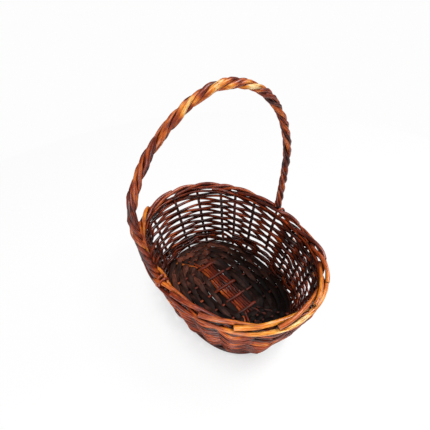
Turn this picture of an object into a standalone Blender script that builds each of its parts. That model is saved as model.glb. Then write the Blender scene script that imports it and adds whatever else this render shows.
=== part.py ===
# An oval willow foraging basket with a fixed hoop handle, built rod by rod.
# Metres, +Z up. The origin is the middle of the footprint, on the ground; X is the long way.
import math

import bmesh
import bpy
from mathutils import Vector
from mathutils.geometry import intersect_point_line

# The whole basket, measured to the middle of the rods
RIM_HALF_LENGTH = 0.180
RIM_HALF_WIDTH = 0.1295
RIM_HEIGHT = 0.134
FOOT_HALF_LENGTH = 0.137
FOOT_HALF_WIDTH = 0.1003
HANDLE_HALF_WIDTH = 0.1445
HANDLE_WIDE_HEIGHT = 0.250
HANDLE_TOP_HEIGHT = 0.3955
HANDLE_SWAY = 0.0028

# Rods
FOOT_ROD_RADIUS = 0.004
STAKE_RADIUS = 0.0028
BORDER_ROD_RADIUS = 0.0037
OUTER_ROD_RADIUS = 0.0032
ROW_ROD_RADIUS = 0.0025
BASE_ROD_RADIUS = 0.0019
BOW_RADIUS = 0.0017
STRAND_RADIUS = 0.0018
LASH_RADIUS = 0.0012

# Clearances between neighbouring rods
FIT_GAP = 0.0004
SPOKE_END_GAP = 0.0006
GROUND_GAP = 0.0016
ROW_TOP_GAP = 0.002
ROW_GAP = 0.0011

# Side weave and the bend at the top of a stake
ROW_END_GAP = 0.001
BEND_HEIGHT = 0.009
BOW_FOOT_HEIGHT = 0.05

# Bottom: short bars split round the long sticks
BAR_PITCH = 0.0326
BAR_END_RADIUS = 0.002
BAR_HALF_WIDTH = 0.0032
BAR_LIP = 0.0029
BAR_SHOULDER = 0.0028
BAR_TAPER = 0.0045
STICK_PITCH = 0.006
STICK_WIDTH = 0.0048
STICK_THICKNESS = 0.0028
BASE_ROW_PITCH = 0.0079
FIRST_ROW_HALF_LENGTH = 0.089
FIRST_ROW_HALF_WIDTH = 0.028
LAST_ROW_INSET = 0.0085

# Handle rope
ROPE_LAY = 0.070
BOW_STEP = 0.016

# Roundness powers of the ovals: 2 is an ellipse, more is squarer
RIM_POWER = 2.2
FOOT_POWER = 2.5
FIRST_ROW_POWER = 4.0
CROWN_POWER = 1.85
FLANK_POWER = 1.6
SWAY_POWER = 1.4

# Where the stakes stand round the oval, as shares of a turn from the +X end, counterclockwise
STAKE_TURN_SHARES = [
    0.017, 0.075, 0.125, 0.167, 0.208, 0.294, 0.339, 0.375, 0.436,
    0.497, 0.569, 0.619, 0.667, 0.708, 0.781, 0.831, 0.883, 0.950,
]
BOW_TURN_SHARES = [0.25, 0.75]
STICK_FAN_TURN_SHARES = [0.012, 0.050, 0.075]
BEND_SHARES = [0.3, 0.6, 0.85]
LASH_PLACE_SHARE = 0.32
TOP_SIDE_SHARE = 0.75
NEAR_TURN_SHARE = 0.0014

# Counts
SHORT_BARS = 5
LONG_STICKS = 6
STRANDS = 4
BORDER_SPAN = 2
LAY_STEPS = 5
STRAND_STEPS = 7
FOOT_STEPS = 48
FLANK_STEPS = 24
CROWN_STEPS = 96
LASH_SIDES = 12
STANDOFF_PASSES = 5
HALVINGS = 24
WEAVERS = 2
RODS_PER_WEAVER = 6
BASE_ROW_START_STEP = 5

# The handle leans one way and back as it rises, this many half waves in all
SWAY_HALF_WAVES = 1.5

# Angles in degrees. A border rod turns round the border's middle: from under, up the inside, to the top
SMOOTH_ANGLE = 40.0
LAY_START = 250.0
LAY_END = 40.0

# Sizes that follow from the ones above
FULL_TURN = 2 * math.pi
LAY_PART = math.radians(LAY_START - LAY_END) / BORDER_SPAN
LAY_RADIUS = (2 * BORDER_ROD_RADIUS + FIT_GAP) / (2 * math.sin(LAY_PART / 2))
OUTER_ROD_ANGLE = math.radians((LAY_START + LAY_END + 360) / 2)
OUTER_ROD_SWING = math.radians((360 - LAY_START + LAY_END) / 2)
FOOT_RISE = FOOT_ROD_RADIUS * math.cos(math.pi / 6)
WALL_LEAN = (RIM_HALF_WIDTH - FOOT_HALF_WIDTH) / (RIM_HEIGHT - FOOT_RISE)
END_LEAN = (RIM_HALF_LENGTH - FOOT_HALF_LENGTH) / (RIM_HEIGHT - FOOT_RISE)
STAKE_FOOT_HEIGHT = 2 * FOOT_RISE + FIT_GAP + END_LEAN * STAKE_RADIUS
BASE_HEIGHT = GROUND_GAP + 2 * BASE_ROD_RADIUS + BAR_END_RADIUS + FIT_GAP
ROW_FIRST_HEIGHT = BASE_HEIGHT + BAR_END_RADIUS + ROW_ROD_RADIUS + FIT_GAP
LASH_DEPTH = LAY_RADIUS + BORDER_ROD_RADIUS + 2 * LASH_RADIUS + 2 * FIT_GAP
ROW_LAST_HEIGHT = RIM_HEIGHT - LASH_DEPTH - ROW_ROD_RADIUS - ROW_TOP_GAP
ROPE_RADIUS = (BOW_RADIUS + STRAND_RADIUS + FIT_GAP) / math.cos(math.pi / STRAND_STEPS)
STRAND_FOOT_HEIGHT = RIM_HEIGHT + LAY_RADIUS + BORDER_ROD_RADIUS + STRAND_RADIUS / 2
SLOT_HALF_LENGTH = (LONG_STICKS - 1) / 2 * STICK_PITCH + STICK_WIDTH / 2 + FIT_GAP
SLOT_HALF_HEIGHT = STICK_THICKNESS / 2 + FIT_GAP
POSTS = sorted(STAKE_TURN_SHARES + BOW_TURN_SHARES)
BOW_POSTS = [POSTS.index(share) for share in BOW_TURN_SHARES]
ROW_ROOM = ROW_LAST_HEIGHT - ROW_FIRST_HEIGHT
WEAVER_TURNS = ROW_ROOM / (WEAVERS * (2 * ROW_ROD_RADIUS + ROW_GAP))
POSTS_PER_ROD = int(WEAVER_TURNS * len(POSTS) / RODS_PER_WEAVER)
WEAVER_RISE = ROW_ROOM * len(POSTS) / (POSTS_PER_ROD * RODS_PER_WEAVER)

# Colours of the willow, linear
STAKE_COLOUR = (0.16, 0.055, 0.022)
ROW_COLOUR = (0.085, 0.026, 0.012)
BASE_COLOUR = (0.045, 0.019, 0.012)
STICK_COLOUR = (0.22, 0.05, 0.018)
FOOT_COLOUR = (0.12, 0.035, 0.014)
OUTER_COLOUR = (0.52, 0.22, 0.055)
HANDLE_COLOUR = (0.38, 0.12, 0.028)
LASH_COLOUR = (0.14, 0.015, 0.01)


def clear_scene():
    for item in list(bpy.data.objects):
        bpy.data.objects.remove(item, do_unlink=True)


def willow(name, colour, roughness):
    material = bpy.data.materials.new(name)
    material.use_nodes = True
    shader = material.node_tree.nodes["Principled BSDF"]
    shader.inputs["Base Color"].default_value = (*colour, 1)
    shader.inputs["Roughness"].default_value = roughness
    shader.inputs["Metallic"].default_value = 0
    return material


def add_object(name, data, colour, roughness=0.45):
    item = bpy.data.objects.new(name, data)
    bpy.context.collection.objects.link(item)
    data.materials.append(willow(name, colour, roughness))
    return item


# A round rod along straight runs; radius_shares thins it from point to point
def rod(name, points, radius, colour, radius_shares=None, closed=False, detail=1):
    curve = bpy.data.curves.new(name, "CURVE")
    curve.dimensions = "3D"
    curve.twist_mode = "Z_UP" if closed else "MINIMUM"
    curve.bevel_depth = radius
    curve.bevel_resolution = detail
    curve.use_fill_caps = True
    spline = curve.splines.new("POLY")
    spline.points.add(len(points) - 1)
    for index, place in enumerate(points):
        spline.points[index].co = (*place, 1)
        spline.points[index].radius = radius_shares[index] if radius_shares else 1
    spline.use_cyclic_u = closed
    spline.use_smooth = True
    return add_object(name, curve, colour)


# A body lofted through rings of equally many points
def loft(name, rings, colour, closed=False):
    mesh = bmesh.new()
    loops = [[mesh.verts.new(place) for place in ring] for ring in rings]
    pairs = list(zip(loops, loops[1:]))
    if closed:
        pairs.append((loops[-1], loops[0]))
    for near, far in pairs:
        for index in range(len(near)):
            after = (index + 1) % len(near)
            mesh.faces.new((near[index], near[after], far[after], far[index]))
    if not closed:
        mesh.faces.new(reversed(loops[0]))
        mesh.faces.new(loops[-1])
    bmesh.ops.recalc_face_normals(mesh, faces=mesh.faces)
    data = bpy.data.meshes.new(name)
    mesh.to_mesh(data)
    mesh.free()
    data.shade_smooth()
    data.set_sharp_from_angle(angle=math.radians(SMOOTH_ANGLE))
    return add_object(name, data, colour)


# Ovals: a size is (half length, half width, power), a place on it is a share of a turn
def oval_point(size, turn, height=0.0):
    half_length, half_width, power = size
    along = math.cos(turn * FULL_TURN)
    across = math.sin(turn * FULL_TURN)
    x = half_length * math.copysign(abs(along) ** (2 / power), along)
    y = half_width * math.copysign(abs(across) ** (2 / power), across)
    return Vector((x, y, height))


def oval_normal(size, turn):
    around = oval_point(size, turn + NEAR_TURN_SHARE) - oval_point(size, turn - NEAR_TURN_SHARE)
    return Vector((around.y, -around.x, 0)).normalized()


def oval_reach(size, place):
    half_length, half_width, power = size
    return abs(place.x / half_length) ** power + abs(place.y / half_width) ** power


def oval_turn(size, place):
    half_length, half_width, power = size
    along = math.copysign(abs(place.x / half_length) ** (power / 2), place.x)
    across = math.copysign(abs(place.y / half_width) ** (power / 2), place.y)
    return math.atan2(across, along) / FULL_TURN


FOOT_OVAL = (FOOT_HALF_LENGTH, FOOT_HALF_WIDTH, FOOT_POWER)
RIM_OVAL = (RIM_HALF_LENGTH, RIM_HALF_WIDTH, RIM_POWER)


# The middle surface of the wall: straight lines from the foot oval up to the rim oval
def wall_rise(turn):
    return (oval_point(RIM_OVAL, turn, RIM_HEIGHT) - oval_point(FOOT_OVAL, turn, FOOT_RISE)).normalized()


def wall_middle(turn, height):
    share = (height - FOOT_RISE) / (RIM_HEIGHT - FOOT_RISE)
    return oval_point(FOOT_OVAL, turn, FOOT_RISE).lerp(oval_point(RIM_OVAL, turn, RIM_HEIGHT), share)


def wall_point(turn, height, outward=0.0):
    near = NEAR_TURN_SHARE
    around = wall_middle(turn + near, height) - wall_middle(turn - near, height)
    out = around.cross(wall_rise(turn)).normalized()
    return wall_middle(turn, height) + out * outward


# A rod woven past groups of posts, alternately on one side and the other
def axis_gap(centre, axis, start, end):
    near = (start - centre) - axis * (start - centre).dot(axis)
    far = (end - centre) - axis * (end - centre).dot(axis)
    foot, share = intersect_point_line(Vector(), near, far)
    if share < 0:
        return near.length
    if share > 1:
        return far.length
    return foot.length


def standoff(post, middles, place, side, need):
    reach = need
    for _ in range(STANDOFF_PASSES):
        peak = place(post["turn"], side * reach)
        gaps = [axis_gap(place(post["turn"], 0), post["axis"], peak, middle) for middle in middles]
        reach += need - min(gaps)
    return reach


def halfway(place, start, end):
    low, high = start, end
    for _ in range(HALVINGS):
        middle = (low + high) / 2
        spot = place(middle, 0)
        if (spot - place(start, 0)).length < (place(end, 0) - spot).length:
            low = middle
        else:
            high = middle
    return place(middle, 0)


# The run of groups that a rod passes, counted on past the first full turn
def passed(groups, first, count):
    run = []
    for position in range(first, first + count):
        lap, index = divmod(position, len(groups))
        run.append([{**post, "turn": post["turn"] + lap} for post in groups[index]])
    return run


# The rod begins in the gap before its first group and ends in the gap after its last
def woven_path(groups, first, count, place, rod_radius, side):
    run = passed(groups, first - 1, count + 2)
    middles = [halfway(place, near[-1]["turn"], far[0]["turn"]) for near, far in zip(run, run[1:])]
    points = []
    for group, before, after in zip(run[1:], middles, middles[1:]):
        ends = [(group[0], [before]), (group[-1], [after])]
        if len(group) == 1:
            ends = [(group[0], [before, after])]
        reach = max(
            standoff(post, near, place, side, post["radius"] + rod_radius + FIT_GAP)
            for post, near in ends
        )
        points += [place(post["turn"], side * reach) for post in group] + [after]
        side = -side
    start, end = middles[0], points.pop()
    head = start + (points[0] - start).normalized() * ROW_END_GAP
    tail = end + (points[-1] - end).normalized() * ROW_END_GAP
    return [head] + points + [tail]


# Bottom
def base_rows():
    last = (FOOT_HALF_LENGTH - LAST_ROW_INSET, FOOT_HALF_WIDTH - LAST_ROW_INSET, FOOT_POWER)
    first = (FIRST_ROW_HALF_LENGTH, FIRST_ROW_HALF_WIDTH, FIRST_ROW_POWER)
    count = int((last[1] - first[1]) / BASE_ROW_PITCH) + 1
    shares = [index / (count - 1) for index in range(count)]
    return [tuple(a + (b - a) * share for a, b in zip(first, last)) for share in shares]


def spoke_end_oval():
    inset = STAKE_RADIUS + SPOKE_END_GAP
    return (FOOT_HALF_LENGTH - inset, FOOT_HALF_WIDTH - inset, FOOT_POWER)


def bar_places():
    return [(index - (SHORT_BARS - 1) / 2) * BAR_PITCH for index in range(SHORT_BARS)]


def bar_reach(x):
    half_length, half_width, power = spoke_end_oval()
    return half_width * (1 - (abs(x) / half_length) ** power) ** (1 / power)


# One long stick from end to end: straight under the bars, then fanned out
def stick_path(index):
    offset = index - (LONG_STICKS - 1) / 2
    y = offset * STICK_PITCH
    fan = math.copysign(STICK_FAN_TURN_SHARES[int(abs(offset))], offset)
    tip = oval_point(spoke_end_oval(), fan, BASE_HEIGHT)
    knee = Vector((max(bar_places()) + BAR_HALF_WIDTH + FIT_GAP, y, BASE_HEIGHT))
    mirrored = [Vector((-place.x, place.y, place.z)) for place in (tip, knee)]
    return mirrored + [knee, tip]


def base_spokes():
    bars = {"radius": BAR_END_RADIUS}
    sticks = {"radius": math.hypot(STICK_THICKNESS, STICK_WIDTH - STICK_THICKNESS) / 2}
    sides = {"right": [], "back": [], "left": [], "front": []}
    for x in bar_places():
        start = Vector((x, 0, BASE_HEIGHT))
        tip = Vector((x, bar_reach(x), BASE_HEIGHT))
        sides["back"].insert(0, [{**bars, "start": start, "end": tip}])
        sides["front"].append([{**bars, "start": start, "end": Vector((x, -tip.y, BASE_HEIGHT))}])
    for index in range(0, LONG_STICKS, 2):
        pair = [stick_path(index), stick_path(index + 1)]
        sides["right"].append([{**sticks, "start": path[2], "end": path[3]} for path in pair])
        sides["left"].insert(
            0, [{**sticks, "start": path[1], "end": path[0]} for path in reversed(pair)]
        )
    return sides["right"] + sides["back"] + sides["left"] + sides["front"]


# Where a spoke crosses one row's oval
def crossing(spoke, row, wraps):
    low, high = 0.0, 1.0
    for _ in range(HALVINGS):
        share = (low + high) / 2
        if oval_reach(row, spoke["start"].lerp(spoke["end"], share)) < 1:
            low = share
        else:
            high = share
    turn = oval_turn(row, spoke["start"].lerp(spoke["end"], high))
    if wraps and turn < 0:
        turn += 1
    axis = (spoke["end"] - spoke["start"]).normalized()
    return {"turn": turn, "axis": axis, "radius": spoke["radius"]}


def build_base_rows():
    spokes = base_spokes()
    right_groups = LONG_STICKS // 2
    for number, row in enumerate(base_rows()):
        groups = [
            [crossing(spoke, row, index >= right_groups) for spoke in group]
            for index, group in enumerate(spokes)
        ]
        first = (number * BASE_ROW_START_STEP) % len(groups)
        points = woven_path(
            groups,
            first,
            len(groups),
            lambda turn, lift, row=row: oval_point(row, turn, BASE_HEIGHT + lift),
            BASE_ROD_RADIUS,
            1 if (first + number) % 2 else -1,
        )
        rod(f"base_row_{number + 1:02d}", points, BASE_ROD_RADIUS, BASE_COLOUR)


def build_short_bars():
    for number, x in enumerate(bar_places()):
        swell_end = SLOT_HALF_LENGTH + BAR_LIP
        taper_end = swell_end + BAR_TAPER
        tip = bar_reach(x)
        swell = (BAR_HALF_WIDTH, SLOT_HALF_HEIGHT + BAR_SHOULDER)
        thin = (BAR_END_RADIUS, BAR_END_RADIUS)
        profile = [(-tip, thin), (-taper_end, thin), (-swell_end, swell)]
        profile += [(-y, size) for y, size in reversed(profile)]
        rings = []
        for y, (half_width, half_height) in profile:
            angles = [(corner + 0.5) * FULL_TURN / 8 for corner in range(8)]
            rings.append([
                Vector((x + half_width * math.cos(a), y, BASE_HEIGHT + half_height * math.sin(a)))
                for a in angles
            ])
        bar = loft(f"short_bar_{number + 1}", rings, STAKE_COLOUR)
        split = bar.modifiers.new("split", "BOOLEAN")
        split.operation = "DIFFERENCE"
        split.solver = "EXACT"
        split.object = split_cutter(x)


def split_cutter(x):
    mesh = bmesh.new()
    bmesh.ops.create_cube(mesh, size=2)
    for vert in mesh.verts:
        vert.co.x = x + vert.co.x * 2 * BAR_HALF_WIDTH
        vert.co.y = vert.co.y * SLOT_HALF_LENGTH
        vert.co.z = BASE_HEIGHT + vert.co.z * SLOT_HALF_HEIGHT
    data = bpy.data.meshes.new("split_cutter")
    mesh.to_mesh(data)
    mesh.free()
    cutter = bpy.data.objects.new("split_cutter", data)
    bpy.context.collection.objects.link(cutter)
    cutter.hide_render = True
    cutter.display_type = "WIRE"
    return cutter


def build_long_sticks():
    half = STICK_WIDTH / 2
    flat = (STICK_WIDTH - STICK_THICKNESS) / 2
    rise = STICK_THICKNESS / 2
    section = [(half, 0), (flat, rise), (-flat, rise), (-half, 0), (-flat, -rise), (flat, -rise)]
    for index in range(LONG_STICKS):
        path = stick_path(index)
        rings = []
        for number, place in enumerate(path):
            before = path[max(number - 1, 0)]
            after = path[min(number + 1, len(path) - 1)]
            way = ((after - place).normalized() + (place - before).normalized()).normalized()
            side = Vector((-way.y, way.x, 0))
            rings.append([place + side * across + Vector((0, 0, up)) for across, up in section])
        loft(f"long_stick_{index + 1}", rings, STICK_COLOUR)


# Foot ring: six-sided, flat below, so that the basket stands on it
def build_foot_ring():
    rings = []
    for step in range(FOOT_STEPS):
        turn = step / FOOT_STEPS
        middle = oval_point(FOOT_OVAL, turn, FOOT_RISE)
        out = oval_normal(FOOT_OVAL, turn)
        angles = [corner * FULL_TURN / 6 for corner in range(6)]
        rings.append([
            middle + FOOT_ROD_RADIUS * (out * math.cos(a) + Vector((0, 0, math.sin(a))))
            for a in angles
        ])
    loft("foot_ring", rings, FOOT_COLOUR, closed=True)


# Side rows: two weavers climb round the wall half a turn apart, and where one passes a post
# outside, the other passes it inside. Each weaver is a chain of rods laid end to end
def build_side_rows():
    groups = []
    for index, turn in enumerate(POSTS):
        radius = BOW_RADIUS if index in BOW_POSTS else STAKE_RADIUS
        groups.append([{"turn": turn, "axis": wall_rise(turn), "radius": radius}])
    number = 0
    for weaver in range(WEAVERS):
        start = weaver / WEAVERS
        for link in range(RODS_PER_WEAVER):
            number += 1
            first = int(start * len(POSTS)) + link * POSTS_PER_ROD
            points = woven_path(
                groups,
                first,
                POSTS_PER_ROD,
                lambda turn, outward, start=start: wall_point(
                    turn, ROW_FIRST_HEIGHT + WEAVER_RISE * (turn - start), outward
                ),
                ROW_ROD_RADIUS,
                1 if (first + weaver) % 2 else -1,
            )
            rod(f"side_row_{number:02d}", points, ROW_ROD_RADIUS, ROW_COLOUR)


# Border: a place along it is a post's number, with a share for what lies between two posts
def turn_at(position):
    lower = math.floor(position)
    low = POSTS[lower % len(POSTS)] + lower // len(POSTS)
    high = POSTS[(lower + 1) % len(POSTS)] + (lower + 1) // len(POSTS)
    return low + (high - low) * (position - lower)


def border_offset(start, position):
    angle = math.radians(LAY_START) - LAY_PART * (start - position)
    outward = LAY_RADIUS * math.cos(angle)
    upward = LAY_RADIUS * math.sin(angle)
    nearest = round(position)
    if nearest % len(POSTS) in BOW_POSTS:
        nearness = (1 + math.cos((position - nearest) * FULL_TURN)) / 2
        room = BOW_RADIUS + BORDER_ROD_RADIUS + FIT_GAP + WALL_LEAN * LAY_RADIUS
        side = -1 if start - position < BORDER_SPAN * TOP_SIDE_SHARE else 1
        outward += (side * max(room, abs(outward)) - outward) * nearness
    return outward, upward


def outer_rod_offset():
    need = BORDER_ROD_RADIUS + OUTER_ROD_RADIUS + FIT_GAP
    sideways = LAY_RADIUS * math.sin(OUTER_ROD_SWING)
    radius = LAY_RADIUS * math.cos(OUTER_ROD_SWING) + math.sqrt(need ** 2 - sideways ** 2)
    return radius * math.cos(OUTER_ROD_ANGLE), radius * math.sin(OUTER_ROD_ANGLE)


def border_place(position, offset):
    turn = turn_at(position)
    out = oval_normal(RIM_OVAL, turn)
    return oval_point(RIM_OVAL, turn, RIM_HEIGHT) + out * offset[0] + Vector((0, 0, offset[1]))


# A stake rises through the weave, bends over and is laid along the rim past the next posts
def build_stakes():
    number = 0
    thin = STAKE_RADIUS / BORDER_ROD_RADIUS
    for index, turn in enumerate(POSTS):
        if index in BOW_POSTS:
            continue
        number += 1
        steps = [index - step / LAY_STEPS for step in range(BORDER_SPAN * LAY_STEPS + 1)]
        laid = [border_place(position, border_offset(index, position)) for position in steps]
        foot = wall_middle(turn, STAKE_FOOT_HEIGHT)
        neck = wall_middle(turn, RIM_HEIGHT - LAY_RADIUS - BEND_HEIGHT)
        bend = [
            neck.lerp(laid[0], share).lerp(laid[0].lerp(laid[1], share), share)
            for share in BEND_SHARES
        ]
        points = [foot, neck] + bend + laid[1:]
        shares = [thin, thin] + [thin + (1 - thin) * share for share in BEND_SHARES]
        shares += [1] * (len(points) - len(shares))
        rod(f"stake_{number:02d}", points, BORDER_ROD_RADIUS, STAKE_COLOUR, shares)


def build_outer_rod():
    count = len(POSTS) * LAY_STEPS
    places = [border_place(step / LAY_STEPS, outer_rod_offset()) for step in range(count)]
    start = places[0]
    head = start + (places[1] - start).normalized() * ROW_END_GAP
    tail = start + (places[-1] - start).normalized() * ROW_END_GAP
    points = [head] + places[1:] + [tail]
    rod("border_outer_rod", points, OUTER_ROD_RADIUS, OUTER_COLOUR)


# Handle: the bow's middle line from the rim over the top and down again
def handle_flank(side, height):
    wide = HANDLE_WIDE_HEIGHT
    drop = (wide - height) / (wide - RIM_HEIGHT)
    y = HANDLE_HALF_WIDTH - (HANDLE_HALF_WIDTH - RIM_HALF_WIDTH) * drop ** FLANK_POWER
    return Vector((0, side * y - handle_shift(height), height))


def handle_shift(height):
    share = (height - RIM_HEIGHT) / (HANDLE_TOP_HEIGHT - RIM_HEIGHT)
    return HANDLE_SWAY * math.sin(SWAY_HALF_WAVES * math.pi * share ** SWAY_POWER)


def handle_line(from_height):
    rise = HANDLE_WIDE_HEIGHT - from_height
    heights = [from_height + rise * step / FLANK_STEPS for step in range(FLANK_STEPS)]
    front = [handle_flank(-1, height) for height in heights]
    crown = []
    size = (HANDLE_HALF_WIDTH, HANDLE_TOP_HEIGHT - HANDLE_WIDE_HEIGHT, CROWN_POWER)
    for step in range(CROWN_STEPS + 1):
        place = oval_point(size, (1 - step / CROWN_STEPS) / 2)
        height = HANDLE_WIDE_HEIGHT + place.y
        crown.append(Vector((0, place.x - handle_shift(height), height)))
    back = [handle_flank(1, height) for height in reversed(heights)]
    return front + crown + back


# Evenly spaced places along a line of points, about a step apart, each with the direction there
def spaced(line, step_length):
    lengths = [0.0]
    for near, far in zip(line, line[1:]):
        lengths.append(lengths[-1] + (far - near).length)
    count = round(lengths[-1] / step_length)
    places = []
    index = 0
    for step in range(count + 1):
        wanted = lengths[-1] * step / count
        while index < len(line) - 2 and lengths[index + 1] < wanted:
            index += 1
        share = (wanted - lengths[index]) / (lengths[index + 1] - lengths[index])
        way = (line[index + 1] - line[index]).normalized()
        places.append((line[index].lerp(line[index + 1], share), way))
    return places


def build_handle_bow():
    places = spaced(handle_line(RIM_HEIGHT), BOW_STEP)
    front_foot, back_foot = [wall_middle(turn, BOW_FOOT_HEIGHT) for turn in reversed(BOW_TURN_SHARES)]
    points = [front_foot] + [place for place, way in places] + [back_foot]
    rod("handle_bow", points, BOW_RADIUS, HANDLE_COLOUR)


def build_handle_strands():
    places = spaced(handle_line(STRAND_FOOT_HEIGHT), ROPE_LAY / STRAND_STEPS)
    across = Vector((1, 0, 0))
    for strand in range(STRANDS):
        points = []
        for step, (place, way) in enumerate(places):
            angle = (strand / STRANDS - step / STRAND_STEPS) * FULL_TURN
            normal = way.cross(across)
            points.append(place + ROPE_RADIUS * (across * math.cos(angle) + normal * math.sin(angle)))
        rod(f"handle_strand_{strand + 1}", points, STRAND_RADIUS, HANDLE_COLOUR)


# Lashings: a thin rod drawn tight round everything that runs through the border there
def border_section(position):
    lowest = math.ceil(position)
    passing = range(lowest, lowest + BORDER_SPAN)
    starts = [start for start in passing if start % len(POSTS) not in BOW_POSTS]
    section = [(border_offset(start, position), BORDER_ROD_RADIUS) for start in starts]
    section.append((outer_rod_offset(), OUTER_ROD_RADIUS))
    return section


def build_lashing(name, position):
    section = border_section(position)
    angles = [step * FULL_TURN / LASH_SIDES for step in range(LASH_SIDES)]
    reaches = []
    for angle in angles:
        out, up = math.cos(angle), math.sin(angle)
        reach = max(offset[0] * out + offset[1] * up + radius for offset, radius in section)
        reaches.append(reach + FIT_GAP + LASH_RADIUS)
    points = []
    for index, angle in enumerate(angles):
        near = reaches[index]
        far = reaches[(index + 1) % LASH_SIDES]
        swing = FULL_TURN / LASH_SIDES
        along = (far - near * math.cos(swing)) / math.sin(swing)
        out = near * math.cos(angle) - along * math.sin(angle)
        up = near * math.sin(angle) + along * math.cos(angle)
        points.append(border_place(position, (out, up)))
    rod(name, points, LASH_RADIUS, LASH_COLOUR, closed=True)


clear_scene()
build_short_bars()
build_long_sticks()
build_base_rows()
build_foot_ring()
build_stakes()
build_side_rows()
build_outer_rod()
build_handle_bow()
build_handle_strands()
build_lashing("lashing_back", BOW_POSTS[0] - LASH_PLACE_SHARE)
build_lashing("lashing_front", BOW_POSTS[1] + LASH_PLACE_SHARE)
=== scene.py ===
import math
import random

import bpy
from mathutils import Euler, Matrix, Vector, noise


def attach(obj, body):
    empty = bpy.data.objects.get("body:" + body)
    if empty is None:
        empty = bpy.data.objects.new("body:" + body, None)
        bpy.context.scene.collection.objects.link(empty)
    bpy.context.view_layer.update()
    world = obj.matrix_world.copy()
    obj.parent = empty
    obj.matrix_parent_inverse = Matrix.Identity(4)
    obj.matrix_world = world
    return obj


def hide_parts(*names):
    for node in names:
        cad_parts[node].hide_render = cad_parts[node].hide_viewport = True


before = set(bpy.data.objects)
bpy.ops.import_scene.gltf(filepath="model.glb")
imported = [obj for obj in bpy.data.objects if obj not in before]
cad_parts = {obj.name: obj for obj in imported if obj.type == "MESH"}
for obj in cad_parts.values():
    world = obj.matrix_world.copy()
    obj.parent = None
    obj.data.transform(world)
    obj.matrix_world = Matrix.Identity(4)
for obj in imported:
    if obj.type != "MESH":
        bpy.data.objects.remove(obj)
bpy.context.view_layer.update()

fullTurn = 2 * math.pi
noise.seed_set(2)    # so that the rods wander alike in every run
print("basket: frame loaded,", len(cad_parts), "rods")


# Where everything stands: the same ovals, posts and heights that the solids have, in metres.
# A turn goes once round the basket: 0 at the right end, 0.25 at the far side, 0.75 at the near side
basket = {
    "rim": (0.180, 0.1295, 2.2),         # half length, half width, roundness power
    "foot": (0.137, 0.1003, 2.5),
    "rimHeight": 0.134,
    "footHeight": 0.00346,
    "posts": [0.017, 0.075, 0.125, 0.167, 0.208, 0.25, 0.294, 0.339, 0.375, 0.436,
              0.497, 0.569, 0.619, 0.667, 0.708, 0.75, 0.781, 0.831, 0.883, 0.950],
    "bowPosts": (5, 15),                 # the handle goes down into the wall here
    # the wall stands out at the right end and in at the front left: how far, its turn, its spread
    "swells": [(0.0050, 0.005, 0.04), (-0.0042, -0.15, 0.055)],
    "slopeHeights": (0.01, 0.13),        # the wall's slope is taken between these
    "nearby": 0.0014,                    # a direction is taken over this part of a turn
}
postCount = len(basket["posts"])


def mix(low, high, share):
    return low + (high - low) * share


# 1 where every share is 0, and falling off smoothly to all sides
def bell(*shares):
    return math.exp(-sum(share ** 2 for share in shares))


# 1 at the middle turn and 0 on the opposite side; a higher power makes it narrower
def nearness(turn, middle, power=1):
    return (0.5 + 0.5 * math.cos((turn - middle) * fullTurn)) ** power


# How far one turn lies past another, the short way round
def turnFrom(turn, middle):
    return (turn - middle + 0.5) % 1 - 0.5


def ovalPoint(size, turn, height=0.0):
    along, across = math.cos(turn * fullTurn), math.sin(turn * fullTurn)
    x = size[0] * math.copysign(abs(along) ** (2 / size[2]), along)
    y = size[1] * math.copysign(abs(across) ** (2 / size[2]), across)
    return Vector((x, y, height))


def ovalNormal(size, turn):
    around = ovalPoint(size, turn + basket["nearby"]) - ovalPoint(size, turn - basket["nearby"])
    return Vector((around.y, -around.x, 0)).normalized()


def wallMiddle(turn, height):
    share = (height - basket["footHeight"]) / (basket["rimHeight"] - basket["footHeight"])
    out = sum(reach * bell(turnFrom(turn, middle) / spread) for reach, middle, spread in basket["swells"])
    low = ovalPoint(basket["foot"], turn, basket["footHeight"]) + ovalNormal(basket["foot"], turn) * out
    high = ovalPoint(basket["rim"], turn, basket["rimHeight"])
    belly = 4 * max(share * (1 - share), 0) * max(out, 0)      # most half way up, none at rim and foot
    return low.lerp(high, share) + ovalNormal(basket["rim"], turn) * belly


def wallPoint(turn, height, outward):
    low, high = basket["slopeHeights"]
    around = wallMiddle(turn + basket["nearby"], height) - wallMiddle(turn - basket["nearby"], height)
    rise = wallMiddle(turn, high) - wallMiddle(turn, low)
    return wallMiddle(turn, height) + around.cross(rise).normalized() * outward


# A position counts posts, with a share for what lies between two of them
def turnAt(position):
    posts = basket["posts"]
    lower = math.floor(position)
    low = posts[lower % postCount] + lower // postCount
    high = posts[(lower + 1) % postCount] + (lower + 1) // postCount
    return mix(low, high, position - lower)


# What all the rods share, in metres
willow = {
    "spacing": 0.003,                    # between the rings of a finished rod
    "strayRow": 3.7, "strayLayer": 0.3,  # these keep the wandering of one rod apart from the next
    "butt": [(0.0, 1.0, 0.0), (0.0002, 0.97, 0.0), (0.0003, 0.90, 0.0), (0.00032, 0.88, 1.0),
             (0.00036, 0.42, 1.6), (0.0004, 0.3, 2.0)],        # length past the end, share of the radius, cut
    "drawnRadius": 0.004,                # the bark's patterns are drawn for a rod this thick
    "barkApart": 9.0,                    # and each rod takes its own stretch out of this length of bark
    "scarsAcross": 110.0, "bumpsAcross": 180.0,                # to a metre: 9 and 6 mm wide
    "scarChance": 0.8, "scar": {"From Min": 0.28, "From Max": 0.05}, "bumpDetail": 2.0,
    "sharpAngle": 48,                    # degrees, past which an edge isn't smoothed
}


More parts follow.
